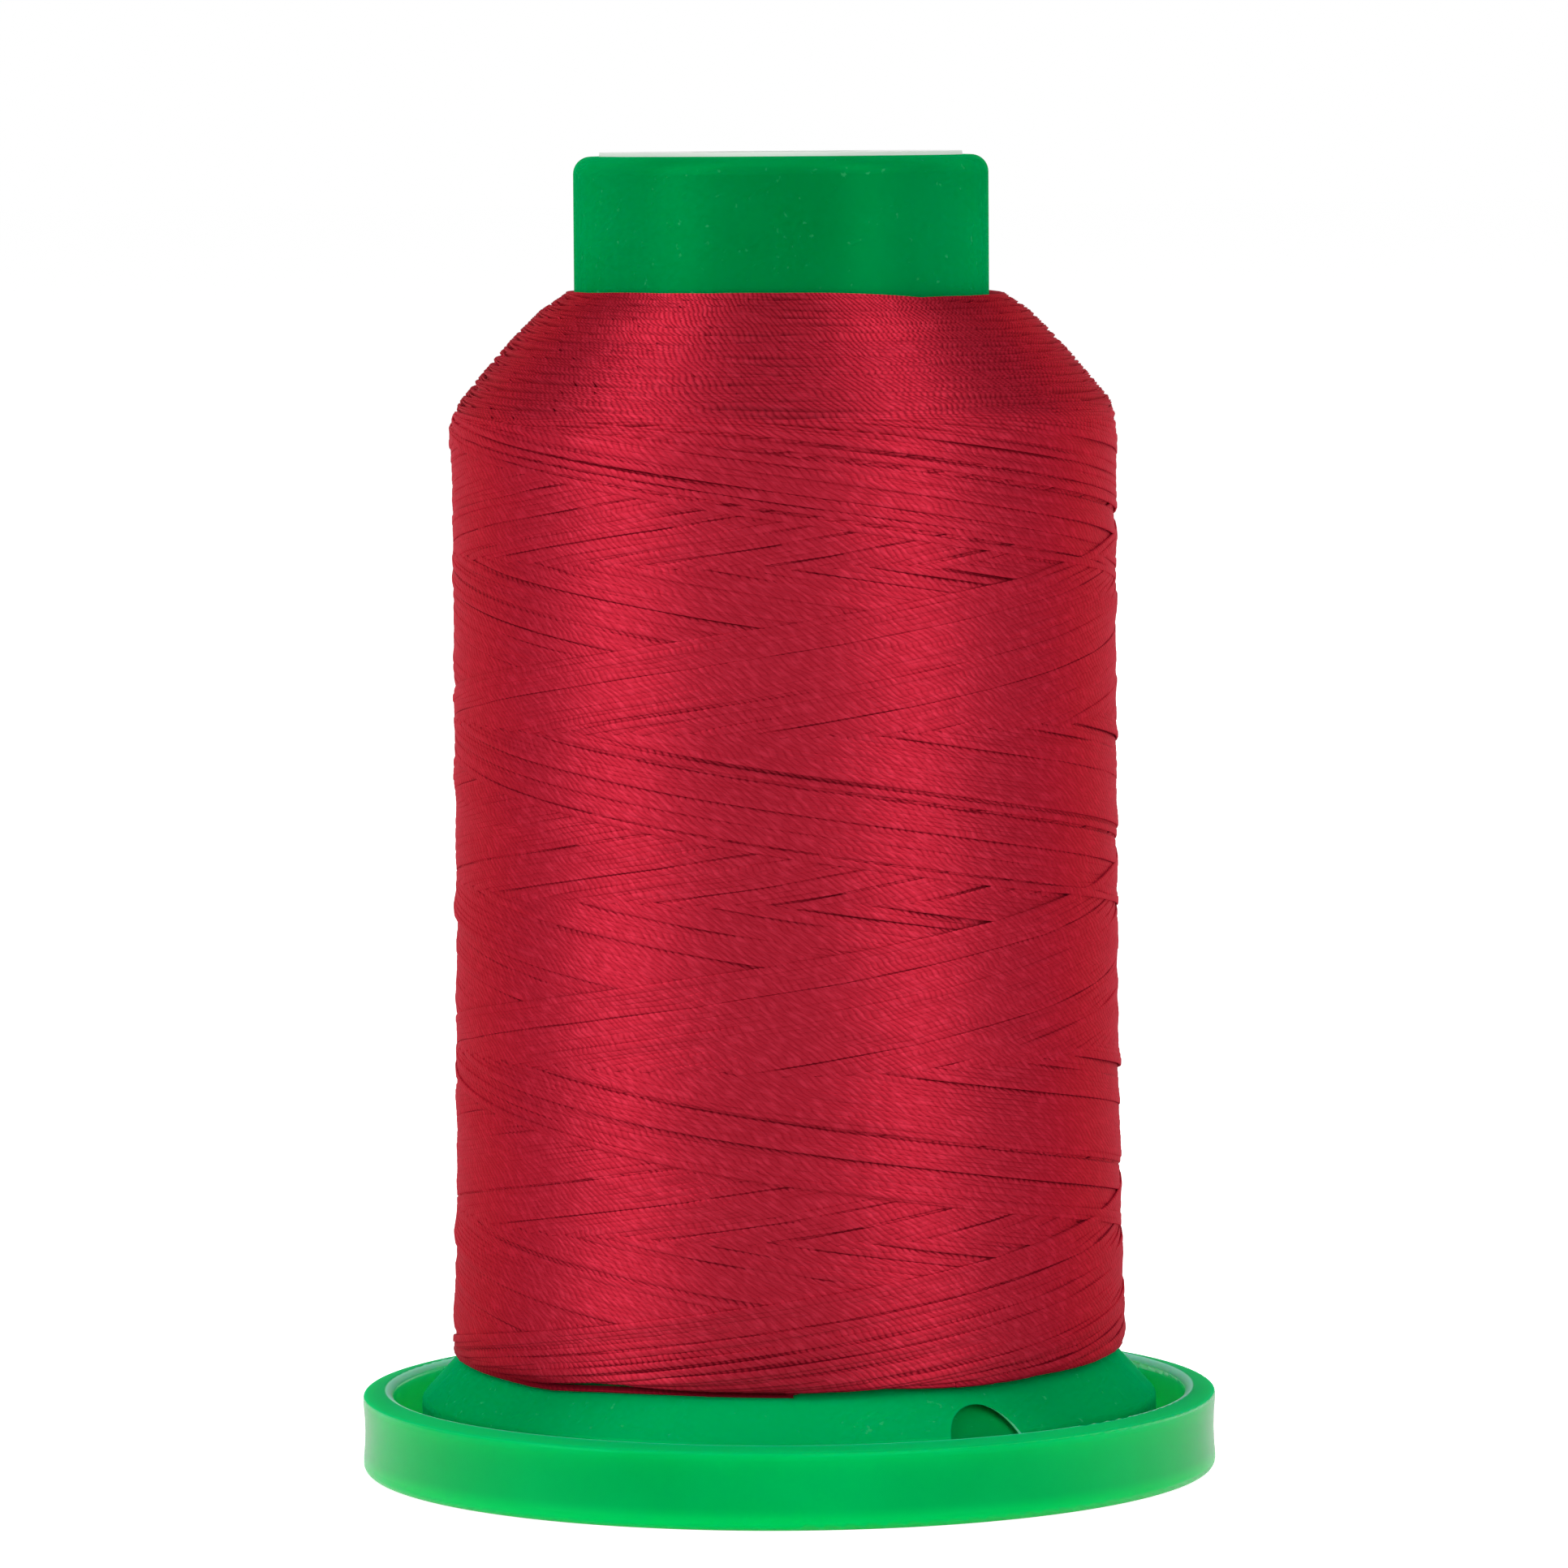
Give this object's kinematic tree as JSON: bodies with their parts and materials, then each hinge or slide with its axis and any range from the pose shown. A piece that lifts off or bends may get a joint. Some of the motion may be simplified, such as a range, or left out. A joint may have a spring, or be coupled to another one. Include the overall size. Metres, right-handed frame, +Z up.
{
  "type": "spool of embroidery thread",
  "caption": "Cross-wound spool of thread on a tubular core with a spreading foot, and a dished base that clips in and opens to nip the tail.",
  "frame": {"origin": "centre of the flat face that the base stands on", "axes": "+Z up along the spool's axis, towards the collar; -Y is the front, where the thread's end lies"},
  "size_m": [0.0445, 0.0444, 0.0685],
  "materials": {
    "green_plastic": "satin, slightly translucent moulded polypropylene",
    "thread": "lustrous twisted filament thread",
    "label_paper": "matt white paper"
  },
  "bodies": {
    "base": {"snap_base": "green_plastic"},
    "spool": {"spool_core": "green_plastic", "thread_pack": "thread", "thread_turns": "thread", "top_label": "label_paper"}
  },
  "joints": [
    {"name": "base_pull", "type": "slide", "parent": "base", "child": "spool", "axis": [0, 0, 1], "range_m": [0, 0.004]}
  ]
}
